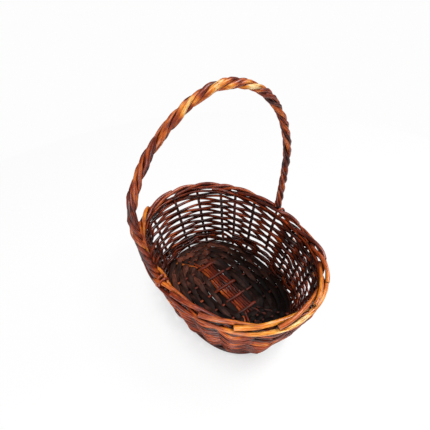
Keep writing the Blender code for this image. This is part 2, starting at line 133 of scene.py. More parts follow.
# A willow rod is a list of stations: (place, radius, tone, cut)
# tone runs from 0, dark, to 1, amber; rods inside are set darker as painted shade and outside lighter as
# painted light; cut is 0 on bark, 1 to 2 on a cut end
def smoothRod(stations):
    places = [station[0] for station in stations]
    last = len(places) - 1
    rod = []
    for index in range(last):
        before, start = places[max(index - 1, 0)], places[index]
        end, after = places[index + 1], places[min(index + 2, last)]
        count = max(1, round((end - start).length / willow["spacing"]))
        for step in range(count):
            s = step / count
            place = 0.5 * (2 * start + (end - before) * s + (2 * before - 5 * start + 4 * end - after) * s * s
                           + (3 * start - before - 3 * end + after) * s ** 3)
            values = [mix(low, high, s) for low, high in zip(stations[index][1:], stations[index + 1][1:])]
            rod.append((place, *values))
    rod.append(stations[-1])
    return rod


# Real rods are never quite straight: straying says how far, over what length, and with what seed
def wander(rod, straying, number=0):
    amount, length, seed = straying
    row = (seed + number) * willow["strayRow"]
    run, moved, before = 0.0, [], rod[0][0]
    for place, *rest in rod:
        run += (place - before).length
        before = place
        shift = noise.noise_vector(Vector((run / length, row, willow["strayLayer"])))
        moved.append((place + shift * amount, *rest))
    return moved


# Smooth chance along a rod: how much, how many waves to a metre or a post, and what keeps its uses apart
def uneven(chance, along, number=1):
    amount, rate, row, layer = chance
    return amount * noise.noise(Vector((along * rate, number * row, layer)))


# A cut end: a narrow rim of bark, then pale wood, then dark pith
def cutEnds(rod):
    def butt(stations):
        place, radius, tone = stations[-1][:3]
        way = (place - stations[-2][0]).normalized()
        rings = [(place + way * push, radius * share, tone, bare) for push, share, bare in willow["butt"]]
        return stations[:-1] + rings
    return butt(butt(rod)[::-1])[::-1]


# sRGB hex to linear
def hexColour(text):
    values = [int(text[i:i + 2], 16) / 255 for i in (1, 3, 5)]
    return [v / 12.92 if v <= 0.04045 else ((v + 0.055) / 1.055) ** 2.4 for v in values] + [1.0]


# One node with its links from other nodes' sockets, its typed-in inputs and its settings
def addNode(tree, kind, links=None, inputs=None, **settings):
    node = tree.nodes.new(kind)
    for name, value in settings.items():
        setattr(node, name, value)
    for key, value in (inputs or {}).items():
        node.inputs[key].default_value = value
    for key, socket in (links or {}).items():
        tree.links.new(socket, node.inputs[key])
    return node


# Geometry nodes: sweeps every edge path of a mesh into a rod with leaf scars and uneven bark
def makeRodTree():
    tree = bpy.data.node_groups.new("willow rod", "GeometryNodeTree")
    tree.interface.new_socket("Geometry", in_out="INPUT", socket_type="NodeSocketGeometry")
    for name, kind, value in (("Sides", "Int", 10), ("Width share", "Float", 1.0),
                              ("Height share", "Float", 1.0), ("Bark relief", "Float", 0.0002),
                              ("Bark length", "Float", 0.012), ("Knot relief", "Float", 0.0006),
                              ("Knot spacing", "Float", 0.045), ("Level", "Bool", False),
                              ("Material", "Material", None)):
        socket = tree.interface.new_socket(name, in_out="INPUT", socket_type="NodeSocket" + kind)
        if value is not None:
            socket.default_value = value
    tree.interface.new_socket("Geometry", in_out="OUTPUT", socket_type="NodeSocketGeometry")
    given = addNode(tree, "NodeGroupInput")
    stored = {}
    for name, kind in (("rodRadius", "FLOAT"), ("rodRandom", "FLOAT"), ("rodCut", "FLOAT"),
                       ("alongRod", "FLOAT"), ("ringPlace", "FLOAT_VECTOR"), ("barkPlace", "FLOAT_VECTOR")):
        stored[name] = addNode(tree, "GeometryNodeInputNamedAttribute", inputs={"Name": name}, data_type=kind)
    radius = stored["rodRadius"]
    paths = addNode(tree, "GeometryNodeMeshToCurve", {"Mesh": given.outputs["Geometry"]})
    free = addNode(tree, "GeometryNodeSetCurveNormal", {"Curve": paths.outputs[0]}, mode="MINIMUM_TWIST")
    level = addNode(tree, "GeometryNodeSetCurveNormal", {"Curve": paths.outputs[0]}, mode="Z_UP")
    turned = addNode(tree, "GeometryNodeSwitch",
                     {"Switch": given.outputs["Level"], "False": free.outputs[0], "True": level.outputs[0]},
                     input_type="GEOMETRY")
    sized = addNode(tree, "GeometryNodeSetCurveRadius",
                    {"Curve": turned.outputs[0], "Radius": radius.outputs["Attribute"]})
    along = addNode(tree, "GeometryNodeSplineParameter")
    measured = addNode(tree, "GeometryNodeStoreNamedAttribute",
                       {"Geometry": sized.outputs[0], "Value": along.outputs["Length"]},
                       {"Name": "alongRod"}, data_type="FLOAT", domain="POINT")
    ring = addNode(tree, "GeometryNodeCurvePrimitiveCircle",
                   {"Resolution": given.outputs["Sides"]}, {"Radius": 1.0})
    where = addNode(tree, "GeometryNodeInputPosition")
    marked = addNode(tree, "GeometryNodeStoreNamedAttribute",
                     {"Geometry": ring.outputs[0], "Value": where.outputs[0]},
                     {"Name": "ringPlace"}, data_type="FLOAT_VECTOR", domain="POINT")
    squash = addNode(tree, "ShaderNodeCombineXYZ",
                     {"X": given.outputs["Width share"], "Y": given.outputs["Height share"]}, {"Z": 1.0})
    section = addNode(tree, "GeometryNodeTransform",
                      {"Geometry": marked.outputs[0], "Scale": squash.outputs[0]})
    swept = addNode(tree, "GeometryNodeCurveToMesh",
                    {"Curve": measured.outputs[0], "Profile Curve": section.outputs[0],
                     "Scale": radius.outputs["Attribute"]}, {"Fill Caps": True})
    # the place on the rod's own skin, in metres, as if it lay straight: what every pattern reads
    across = addNode(tree, "ShaderNodeVectorMath", {0: stored["ringPlace"].outputs["Attribute"]},
                     {"Scale": willow["drawnRadius"]}, operation="SCALE")
    own, length = stored["rodRandom"], stored["alongRod"]
    offset = addNode(tree, "ShaderNodeMath", {0: own.outputs["Attribute"], 2: length.outputs["Attribute"]},
                     {1: willow["barkApart"]}, operation="MULTIPLY_ADD")
    lengthwise = addNode(tree, "ShaderNodeCombineXYZ", {"Z": offset.outputs[0]})
    skin = addNode(tree, "ShaderNodeVectorMath", {0: across.outputs[0], 1: lengthwise.outputs[0]},
                   operation="ADD")
    laid = addNode(tree, "GeometryNodeStoreNamedAttribute",
                   {"Geometry": swept.outputs[0], "Value": skin.outputs[0]},
                   {"Name": "barkPlace"}, data_type="FLOAT_VECTOR", domain="POINT")
    # the patterns of the leaf scars and of the bark's bumps, each so long and so many to a metre across
    patterns = {}
    for name, count in (("Knot spacing", willow["scarsAcross"]), ("Bark length", willow["bumpsAcross"])):
        lengths = addNode(tree, "ShaderNodeMath", {1: given.outputs[name]}, {0: 1.0}, operation="DIVIDE")
        scale = addNode(tree, "ShaderNodeCombineXYZ", {"Z": lengths.outputs[0]}, {"X": count, "Y": count})
        patterns[name] = addNode(tree, "ShaderNodeVectorMath",
                                 {0: stored["barkPlace"].outputs["Attribute"], 1: scale.outputs[0]},
                                 operation="MULTIPLY")
    # leaf scars: a low bump in the middle of each cell
    cells = addNode(tree, "ShaderNodeTexVoronoi", {"Vector": patterns["Knot spacing"].outputs[0]},
                    {"Scale": 1.0, "Randomness": willow["scarChance"]})
    knot = addNode(tree, "ShaderNodeMapRange", {"Value": cells.outputs["Distance"]},
                   {**willow["scar"], "To Min": 0.0, "To Max": 1.0}, interpolation_type="SMOOTHSTEP")
    knotted = addNode(tree, "GeometryNodeStoreNamedAttribute",
                      {"Geometry": laid.outputs[0], "Value": knot.outputs[0]},
                      {"Name": "rodKnot"}, data_type="FLOAT", domain="POINT")
    bark = addNode(tree, "ShaderNodeTexNoise", {"Vector": patterns["Bark length"].outputs[0]},
                   {"Scale": 1.0, "Detail": willow["bumpDetail"]})
    barkOut = addNode(tree, "ShaderNodeMath", {0: bark.outputs[0]}, {1: 0.5}, operation="SUBTRACT")
    barkRise = addNode(tree, "ShaderNodeMath", {0: barkOut.outputs[0], 1: given.outputs["Bark relief"]},
                       operation="MULTIPLY")
    rise = addNode(tree, "ShaderNodeMath",
                   {0: knot.outputs[0], 1: given.outputs["Knot relief"], 2: barkRise.outputs[0]},
                   operation="MULTIPLY_ADD")
    uncut = addNode(tree, "ShaderNodeMath", {1: stored["rodCut"].outputs["Attribute"]}, {0: 1.0},
                    operation="SUBTRACT", use_clamp=True)
    riseOnBark = addNode(tree, "ShaderNodeMath", {0: rise.outputs[0], 1: uncut.outputs[0]},
                         operation="MULTIPLY")
    facing = addNode(tree, "GeometryNodeInputNormal")
    push = addNode(tree, "ShaderNodeVectorMath",
                   {0: facing.outputs["Normal"], "Scale": riseOnBark.outputs[0]}, operation="SCALE")
    raised = addNode(tree, "GeometryNodeSetPosition",
                     {"Geometry": knotted.outputs[0], "Offset": push.outputs[0]})
    real = addNode(tree, "GeometryNodeRealizeInstances", {"Geometry": raised.outputs[0]})
    finished = addNode(tree, "GeometryNodeSetMaterial",
                       {"Geometry": real.outputs[0], "Material": given.outputs["Material"]})
    addNode(tree, "NodeGroupOutput", {"Geometry": finished.outputs[0]})
    return tree


rodTree = makeRodTree()


def rodPiece(name, rods, material, nodes, sizes=None):
    mesh = bpy.data.meshes.new(name)
    places, edges, values = [], [], {"rodRadius": [], "rodTone": [], "rodCut": [], "rodRandom": []}
    for number, rod in enumerate(rods):
        start = len(places)
        own = random.Random(name + str(number)).random()
        for place, radius, tone, cut in rod:
            places.append(place)
            for key, value in zip(values, (radius, tone, cut, own)):
                values[key].append(value)
        edges += [(i, i + 1) for i in range(start, len(places) - 1)]
    mesh.from_pydata(places, edges, [])
    for key, numbers in values.items():
        mesh.attributes.new(key, "FLOAT", "POINT").data.foreach_set("value", numbers)
    piece = bpy.data.objects.new(name, mesh)
    bpy.context.scene.collection.objects.link(piece)
    sweep = piece.modifiers.new("willow rod", "NODES")
    sweep.node_group = rodTree
    wanted = {"Material": material, **(sizes or {})}
    for item in rodTree.interface.items_tree:
        if item.in_out == "INPUT" and item.name in wanted:
            sweep[item.identifier] = wanted[item.name]
    evaluated = piece.evaluated_get(bpy.context.evaluated_depsgraph_get())
    solid = bpy.data.meshes.new_from_object(evaluated)
    piece.modifiers.clear()
    solid.name = name
    solid.shade_smooth()
    solid.set_sharp_from_angle(angle=math.radians(willow["sharpAngle"]))
    piece.data = solid
    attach(piece, "root")
    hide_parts(*nodes)
    print("basket:", name, len(rods), "rods,", len(solid.polygons), "faces")


barkColours = [(0.0, "#0c0504"), (0.2, "#300e06"), (0.4, "#6c2008"), (0.6, "#a04a12"),
               (0.78, "#c26e14"), (0.9, "#cc8c34"), (1.0, "#dcbc80")]
handleColours = [(0.0, "#0c0504"), (0.2, "#340e06"), (0.4, "#702408"), (0.6, "#9e4c15"),
                 (0.78, "#bc7624"), (0.9, "#bf965a"), (1.0, "#d0b07e")]
wovenColours = [(0.0, "#1e0904"), (0.2, "#341006"), (0.4, "#5e1e08"), (0.6, "#9c3c0a"),
                (0.78, "#cc6a12"), (1.0, "#dc9c50")]
baseColours = [(0.0, "#080403"), (0.2, "#1b0f0b"), (0.4, "#3a221b"), (0.6, "#66382a"), (1.0, "#a0603c")]
# How many to a metre across the rod and along it, where in the noise, its detail and its roughness
barkPatterns = {
    "blotch": (120, 45, (0, 0, 0), 3.0, 0.6),          # 8 mm wide and 22 mm long
    "streak": (700, 80, (0, 0, 0), 3.0, 0.6),          # 1.4 mm wide and 12 mm long
    "mauve": (60, 22, (3, 1, 5), 3.0, 0.5),            # 17 mm wide and 45 mm long
    "peel": (120, 30, (7, 4, 1), 4.0, 0.6),            # 8 mm wide and 33 mm long
}
wideStreaks = {**barkPatterns, "streak": (520, 80, (0, 0, 0), 3.0, 0.6)}       # 1.9 mm wide
plainBark = {
    "colours": barkColours, "patterns": barkPatterns,
    "blotch": 0.7, "streak": 0.62, "rodToRod": 0.2,    # how far each moves the tone
    "mauve": 0.22, "mauveColour": "#8c4c3c", "mauveNoise": {"From Min": 0.54, "From Max": 0.66},
    "mauveTone": {"From Min": 0.25, "From Max": 0.5}, "mauveRods": {"From Min": 0.5, "From Max": 0.65},
    "peelFrom": 0.95, "peelSpread": 0.08, "peelByTone": 0.3, "peelMost": 0.9, "peelColour": "#ecd6a0",
    "scars": 0.6, "scarColour": "#210e08",
    "cracks": 0.6, "crackNoise": {"From Min": 0.36, "From Max": 0.43}, "crackColour": "#260c06",
    "woodColour": "#c98d4a", "pithColour": "#2c1209", "cutStops": (0.5, 0.85),
    "cutEdge": {"From Min": 0.4, "From Max": 0.9},
    # the groove values set how dark the painted shade in the grooves between the rods goes
    "grooveShade": 0.2, "grooveWidth": 0.006, "grooveOpen": {"From Min": 0.3, "From Max": 0.85},
    "rough": 0.34, "smoother": 0.12, "rougher": 0.16, "grain": 0.5, "grainHeight": 0.0005,
    "gloss": 0.36, "ior": 1.5, "coat": 0.08, "coatRough": 0.25,
}


# Willow boiled with its bark on: red-brown, satin, streaked along the rod, with darker leaf scars
def makeBark(name, look):
    material = bpy.data.materials.new(name)
    material.use_nodes = True
    tree = material.node_tree
    shader = tree.nodes["Principled BSDF"]
    place, tone, own, knot, cut = [addNode(tree, "ShaderNodeAttribute", attribute_name=stored)
                                   for stored in ("barkPlace", "rodTone", "rodRandom", "rodKnot", "rodCut")]
    noises = {}
    for pattern, (across, along, start, detail, roughness) in look["patterns"].items():
        laid = addNode(tree, "ShaderNodeMapping", {"Vector": place.outputs["Vector"]},
                       {"Scale": (across, across, along), "Location": start})
        noises[pattern] = addNode(tree, "ShaderNodeTexNoise", {"Vector": laid.outputs[0]},
                                  {"Scale": 1.0, "Detail": detail, "Roughness": roughness})
    streak = noises["streak"].outputs["Fac"]
    # the rod's own tone, moved by blotches, by streaks and a little from rod to rod
    wave = addNode(tree, "ShaderNodeMath", {0: noises["blotch"].outputs["Fac"]},
                   {1: look["blotch"], 2: -0.5 * look["blotch"]}, operation="MULTIPLY_ADD")
    lines = addNode(tree, "ShaderNodeMath", {0: streak, 2: wave.outputs[0]}, {1: look["streak"]},
                    operation="MULTIPLY_ADD")
    perRod = addNode(tree, "ShaderNodeMath", {0: own.outputs["Fac"], 2: lines.outputs[0]},
                     {1: look["rodToRod"]}, operation="MULTIPLY_ADD")
    moved = addNode(tree, "ShaderNodeMath", {0: perRod.outputs[0]},
                    {1: 0.5 * look["rodToRod"] + 0.5 * look["streak"]}, operation="SUBTRACT")
    level = addNode(tree, "ShaderNodeMath", {0: tone.outputs["Fac"], 1: moved.outputs[0]}, operation="ADD",
                    use_clamp=True)
    ramp = addNode(tree, "ShaderNodeValToRGB", {"Fac": level.outputs[0]})
    stops = ramp.color_ramp.elements
    while len(stops) < len(look["colours"]):
        stops.new(1.0)
    for stop, (position, colour) in zip(stops, look["colours"]):
        stop.position = position
        stop.color = hexColour(colour)
    # stretches of some lighter rods weather to a greyish mauve
    mauvePatch = addNode(tree, "ShaderNodeMapRange", {"Value": noises["mauve"].outputs["Fac"]},
                         {**look["mauveNoise"], "To Max": look["mauve"]}, interpolation_type="SMOOTHSTEP")
    outside = addNode(tree, "ShaderNodeMapRange", {"Value": tone.outputs["Fac"]}, look["mauveTone"])
    mauveRod = addNode(tree, "ShaderNodeMapRange", {"Value": own.outputs["Fac"]}, look["mauveRods"])
    mauvePlaces = addNode(tree, "ShaderNodeMath", {0: mauvePatch.outputs[0], 1: outside.outputs[0]},
                          operation="MULTIPLY")
    mauveShare = addNode(tree, "ShaderNodeMath", {0: mauvePlaces.outputs[0], 1: mauveRod.outputs[0]},
                         operation="MULTIPLY")
    # peeled bark shows the pale wood, more on the outside
    peelLevel = addNode(tree, "ShaderNodeMath", {0: tone.outputs["Fac"], 2: noises["peel"].outputs["Fac"]},
                        {1: look["peelByTone"]}, operation="MULTIPLY_ADD")
    peelShare = addNode(tree, "ShaderNodeMapRange", {"Value": peelLevel.outputs[0]},
                        {"From Min": look["peelFrom"], "From Max": look["peelFrom"] + look["peelSpread"],
                         "To Max": look["peelMost"]}, interpolation_type="SMOOTHSTEP")
    scarShare = addNode(tree, "ShaderNodeMath", {0: knot.outputs["Fac"]}, {1: look["scars"]},
                        operation="MULTIPLY")
    # fine dark cracks run along the bark
    crackShare = addNode(tree, "ShaderNodeMapRange", {"Value": streak},
                         {**look["crackNoise"], "To Min": look["cracks"], "To Max": 0.0})
    bark = ramp.outputs[0]
    for share, colour in ((mauveShare, "mauveColour"), (peelShare, "peelColour"), (scarShare, "scarColour"),
                          (crackShare, "crackColour")):
        layer = addNode(tree, "ShaderNodeMix", {0: share.outputs[0], 6: bark}, {7: hexColour(look[colour])},
                        data_type="RGBA")
        bark = layer.outputs[2]
    # a cut end is pale wood round a dark pith
    cutHalf = addNode(tree, "ShaderNodeMath", {0: cut.outputs["Fac"]}, {1: 0.5}, operation="MULTIPLY")
    cutRamp = addNode(tree, "ShaderNodeValToRGB", {"Fac": cutHalf.outputs[0]})
    cutColours = (look["woodColour"], look["pithColour"])
    for stop, position, colour in zip(cutRamp.color_ramp.elements, look["cutStops"], cutColours):
        stop.position = position
        stop.color = hexColour(colour)
    isCut = addNode(tree, "ShaderNodeMapRange", {"Value": cut.outputs["Fac"]}, look["cutEdge"])
    whole = addNode(tree, "ShaderNodeMix", {0: isCut.outputs[0], 6: bark, 7: cutRamp.outputs[0]},
                    data_type="RGBA")
    # painted shade: ambient occlusion darkens the colour in the grooves between the rods
    grooveShade = addNode(tree, "ShaderNodeAmbientOcclusion", inputs={"Distance": look["grooveWidth"]}, samples=6)
    grooveShadeShare = addNode(tree, "ShaderNodeMapRange", {"Value": grooveShade.outputs["AO"]},
                          {**look["grooveOpen"], "To Min": look["grooveShade"]})
    grooveShaded = addNode(tree, "ShaderNodeMix", {7: grooveShadeShare.outputs[0], 6: whole.outputs[2]}, {0: 1.0},
                    data_type="RGBA", blend_type="MULTIPLY")
    rough = addNode(tree, "ShaderNodeMapRange", {"Value": streak},
                    {"To Min": look["rough"] - look["smoother"], "To Max": look["rough"] + look["rougher"]})
    relief = addNode(tree, "ShaderNodeBump", {"Height": streak},
                     {"Strength": look["grain"], "Distance": look["grainHeight"]})
    tree.links.new(grooveShaded.outputs[2], shader.inputs["Base Color"])
    tree.links.new(rough.outputs[0], shader.inputs["Roughness"])
    tree.links.new(relief.outputs[0], shader.inputs["Normal"])
    shader.inputs["Specular IOR Level"].default_value = look["gloss"]
    shader.inputs["IOR"].default_value = look["ior"]
    shader.inputs["Coat Weight"].default_value = look["coat"]
    shader.inputs["Coat Roughness"].default_value = look["coatRough"]
    return material


# Stakes, border and lashings: whole bark, satin, from red-brown to bleached amber
barkWillow = makeBark("boiled willow with bark", plainBark)
# The handle: its bark is rubbed pale in streaks
handleWillow = makeBark("boiled willow, worn by hands", {
    **plainBark, "colours": handleColours, "patterns": wideStreaks, "streak": 0.9, "rodToRod": 0.1,
    "mauve": 0.3, "mauveColour": "#a06850", "grooveShade": 0.08, "gloss": 0.3, "coat": 0.0, "rough": 0.38})
# The wall's thin rods: redder, a little duller, with painted shade nearly black in the grooves
wovenWillow = makeBark("woven boiled willow", {
    **plainBark, "colours": wovenColours, "blotch": 0.8, "streak": 0.7, "mauve": 0.25,
    "mauveColour": "#6a2c1c", "woodColour": "#7c4a26", "peelFrom": 2.0, "rough": 0.32, "gloss": 0.26,
    "coat": 0.0, "grooveShade": 0.02})
# The bottom's weave: dull and nearly black
darkWillow = makeBark("dark boiled willow", {
    **plainBark, "colours": baseColours, "mauve": 0.0, "peelFrom": 2.0, "rough": 0.6, "gloss": 0.1,
    "coat": 0.0, "grooveShade": 0.15})
# Its bars and sticks: split rods, plainer and duller than whole ones
splitWillow = makeBark("split boiled willow", {
    **plainBark, "mauve": 0.0, "peelFrom": 2.0, "rough": 0.5, "gloss": 0.22, "coat": 0.0, "streak": 0.45,
    "grooveShade": 0.1})
print("basket: willow materials ready")


# The oval bottom: five split bars with six sticks through them, and flat weave round both
bottom = {
    "height": 0.0078, "halvings": 24,
    "spokeGap": 0.0034,                  # the spokes end this far inside the foot
}
barRods = {
    "count": 5, "pitch": 0.0326, "radii": (0.0026, 0.0034),    # at the tips and in the split middle
    "shares": (-1, -0.6, -0.28, -0.2, -0.1, 0, 0.1, 0.2, 0.28, 0.6, 1),
    "splitShare": 0.21, "splitRise": 0.0022,
    "tones": (0.40, 0.30), "farFrom": 0.035, "farDarker": 0.2, "stray": (0.0006, 0.03, 0),
}
stickRods = {
    "count": 6, "pitch": 0.006, "halfWidth": 0.0024, "tip": 0.0026,
    "fanFrom": 0.0036, "fanTurns": [0.012, 0.050, 0.075],      # from here past the last bar, to these turns
    "kneeShare": 0.9,                    # the crossings are counted from this share of the straight part
    "tone": 0.41, "toneStep": 0.02, "kneeDarker": 0.06, "rightTone": 0.4, "leftTone": 0.36,
    "pale": (0, 2), "paleTone": 0.62,    # these two sticks are pale at the left
    "stray": (0.0004, 0.04, 20),
}
baseRows = {
    "count": 9, "paired": 2, "first": (0.0735, 0.0216, 3.2), "last": (0.1300, 0.0930, 2.5),
    "startStep": 5,                      # each row starts this many crossings further on
    "radius": 0.0021, "uneven": (0.88, 1.1), "betweenShare": 0.92, "lift": 0.0028,
    "corner": (0.074, 0.028), "cornerReach": 0.018, "cornerWider": 0.4,
    "tone": 0.18, "chance": 0.12, "stray": (0.0009, 0.03, 40),
    "leftLightRightShade": 0.16, "leftFrom": 0.01, "leftReach": 0.09, "rightDarkest": -0.6,
}


def spokeEnd():
    return (basket["foot"][0] - bottom["spokeGap"], basket["foot"][1] - bottom["spokeGap"], basket["foot"][2])


def barPlace(number):
    return (number - (barRods["count"] - 1) / 2) * barRods["pitch"]


def barTip(x):
    size = spokeEnd()
    return size[1] * (1 - (abs(x) / size[0]) ** size[2]) ** (1 / size[2])


def stickPath(index):
    offset = index - (stickRods["count"] - 1) / 2
    fan = math.copysign(stickRods["fanTurns"][int(abs(offset))], offset)
    tip = ovalPoint(spokeEnd(), fan, bottom["height"])
    lastBar = barPlace(barRods["count"] - 1)
    knee = Vector((lastBar + stickRods["fanFrom"], offset * stickRods["pitch"], bottom["height"]))
    return knee, tip


# Where a straight spoke passes out of an oval, found by halving
def crossingTurn(size, start, end):
    low, high = 0.0, 1.0
    for _ in range(bottom["halvings"]):
        middle = (low + high) / 2
        place = start.lerp(end, middle)
        if abs(place.x / size[0]) ** size[2] + abs(place.y / size[1]) ** size[2] < 1:
            low = middle
        else:
            high = middle
    along = math.copysign(abs(place.x / size[0]) ** (size[2] / 2), place.x)
    across = math.copysign(abs(place.y / size[1]) ** (size[2] / 2), place.y)
    return math.atan2(across, along) / fullTurn % 1


# The inner rows cross the sticks two by two, the outer ones one by one
def bottomCrossings(size, paired):
    turns = []
    for number in range(barRods["count"]):
        x = barPlace(number)
        for side in (-1, 1):
            turns.append(crossingTurn(size, Vector((x, 0, 0)), Vector((x, side * barTip(x), 0))))
    paths = [stickPath(index) for index in range(stickRods["count"])]
    if paired:
        pairs = zip(paths[::2], paths[1::2])
        paths = [[(a + b) / 2 for a, b in zip(first, second)] for first, second in pairs]
    for knee, tip in paths:
        for side in (-1, 1):
            ends = (knee * stickRods["kneeShare"], tip)
            start, end = [Vector((side * place.x, place.y, 0)) for place in ends]
            turns.append(crossingTurn(size, start, end))
    return sorted(turns)


def makeBars():
    bars = []
    for number in range(barRods["count"]):
        x = barPlace(number)
        stations = []
        for share in barRods["shares"]:
            y = share * barTip(x)
            split = 1 if abs(share) < barRods["splitShare"] else 0
            # the far part of each bar is set darker, as painted shade
            tone = mix(*barRods["tones"], split) - barRods["farDarker"] * (y > barRods["farFrom"])
            place = Vector((x, y, bottom["height"] + barRods["splitRise"] * split))
            stations.append((place, mix(*barRods["radii"], split), tone, 0.0))
        bars.append(cutEnds(wander(smoothRod(stations), barRods["stray"], number)))
    return bars


def makeSticks():
    sticks = []
    wide, thin = stickRods["halfWidth"], stickRods["tip"]
    for index in range(stickRods["count"]):
        knee, tip = stickPath(index)
        tone = stickRods["tone"] - stickRods["toneStep"] * index
        leftTone = stickRods["paleTone"] if index in stickRods["pale"] else stickRods["leftTone"]
        stations = [(Vector((-tip.x, tip.y, tip.z)), thin, leftTone, 0.0),
                    (Vector((-knee.x, knee.y, knee.z)), wide, tone, 0.0),
                    (Vector((0, knee.y, knee.z)), wide, tone, 0.0),
                    (knee, wide, tone - stickRods["kneeDarker"], 0.0),
                    (tip, thin, stickRods["rightTone"], 0.0)]
        sticks.append(cutEnds(wander(smoothRod(stations), stickRods["stray"], index)))
    return sticks


# The rows cross each bar and stick, over one and under the next
def makeBottomRows():
    rows = []
    dice = random.Random(4)
    for number in range(baseRows["count"]):
        share = number / (baseRows["count"] - 1)
        size = tuple(mix(first, last, share) for first, last in zip(baseRows["first"], baseRows["last"]))
        crossings = bottomCrossings(size, number < baseRows["paired"])
        count = len(crossings)
        start = number * baseRows["startStep"] % count
        stations = []
        for step in range(start, start + count + 1):
            turn = crossings[step % count] + step // count
            after = crossings[(step + 1) % count] + (step + 1) // count
            side = 1 if (step + number) % 2 else -1
            radius = baseRows["radius"] * dice.uniform(*baseRows["uneven"])
            place = ovalPoint(size, turn, bottom["height"] + baseRows["lift"] * side)
            # painted shade: the rows are set darker towards the right end and lighter towards the left
            left = (baseRows["leftFrom"] - place.x) / baseRows["leftReach"]
            left = min(max(left, baseRows["rightDarkest"]), 1)
            tone = baseRows["tone"] + baseRows["leftLightRightShade"] * left
            tone += baseRows["chance"] * dice.uniform(-1, 1)
            # wider where the inner rows turn the corner
            past = [(abs(at) - corner) / baseRows["cornerReach"]
                    for at, corner in zip(place, baseRows["corner"])]
            radius *= 1 + baseRows["cornerWider"] * bell(*past)
            stations.append((place, radius, tone, 0.0))
            between = ovalPoint(size, (turn + after) / 2, bottom["height"])
            stations.append((between, radius * baseRows["betweenShare"], tone, 0.0))
        rows.append(cutEnds(wander(smoothRod(stations), baseRows["stray"], number)))
    return rows


rodPiece("bottom_bars", makeBars(), splitWillow, [f"short_bar_{n}" for n in range(1, 6)])
rodPiece("bottom_sticks", makeSticks(), splitWillow, [f"long_stick_{n}" for n in range(1, 7)],
         {"Level": True, "Width share": 1.14, "Knot relief": 0.0})
rodPiece("bottom_weave", makeBottomRows(), darkWillow, [f"base_row_{n:02d}" for n in range(1, 10)],
         {"Level": True, "Width share": 2.7, "Height share": 0.75, "Bark relief": 0.0005})

foot = {
    "stations": 120, "startTurn": 0.62, "endGap": 0.15,        # the gap is a share of a step
    "height": 0.0039, "radius": 0.0040, "tone": 0.3, "stray": (0.0003, 0.05, 90),
}


# The foot: one thick rod round the bottom's edge, whose two ends meet
def makeFoot():
    stations = []
    for step in range(foot["stations"]):
        turn = foot["startTurn"] + step / (foot["stations"] - 1 + foot["endGap"])
        stations.append((ovalPoint(basket["foot"], turn, foot["height"]), foot["radius"], foot["tone"], 0.0))
    return [cutEnds(wander(stations, foot["stray"]))]


rodPiece("foot_rod", makeFoot(), wovenWillow, ["foot_ring"],
         {"Bark relief": 0.0, "Knot relief": 0.0003})


# The border: each stake bends over and is laid along the rim past two posts, its cut end on top outside
border = {
    "span": 2, "start": 250, "end": 40, "farEnd": -20,         # degrees round the border's section
    "farPosts": (0.12, 0.6),             # stakes between these shares of the posts end lower
    "turnRadius": 0.00498, "bend": 0.009,
    "bowClear": 0.0072, "bowPast": 1.5,  # how far it keeps from the handle's foot, passing it outside
    "radius": 0.0037, "farRadius": 0.0030, "uneven": (0.92, 1.08),
    "farTurn": 0.25, "bleachedTurn": 0.02, "farRise": 0.0076, "riseTurn": 0.34,
    "swells": [(0.0026, 0.14, 0.06), (-0.0015, 0.71, 0.04)],   # how far out, its turn, its spread
}


# 1 at the right end of the rim, which the sun has bleached, and 0 on the other side
def bleached(turn):
    return nearness(turn, border["bleachedTurn"], 4)


# 1 at the far side, where the rods are thinner, and 0 at the near side
def farShare(turn):
    return nearness(turn, border["farTurn"])


# The rim rises a little behind the far foot of the handle
def farRise(turn):
    return border["farRise"] * nearness(turn, border["riseTurn"], 3)


# How far out and up a stake lies from the rim's line, at a position past its own post
def borderOffset(start, position):
    low, high = border["farPosts"]
    end = border["farEnd"] if low < start / postCount % 1 < high else border["end"]
    part = math.radians(border["start"] - end) / border["span"]
    angle = math.radians(border["start"]) - part * (start - position)
    outward, upward = border["turnRadius"] * math.cos(angle), border["turnRadius"] * math.sin(angle)
    nearest = round(position)
    if nearest % postCount in basket["bowPosts"]:
        side = -1 if start - position < border["bowPast"] else 1
        clear = side * max(border["bowClear"], abs(outward))
        outward = mix(outward, clear, nearness(position, nearest))
    return outward, upward


def borderPlace(position, outward, upward):
    turn = turnAt(position)
    height = basket["rimHeight"] + upward + farRise(turn)
    outward += sum(reach * bell((turn % 1 - middle) / spread) for reach, middle, spread in border["swells"])
    return ovalPoint(basket["rim"], turn, height) + ovalNormal(basket["rim"], turn) * outward


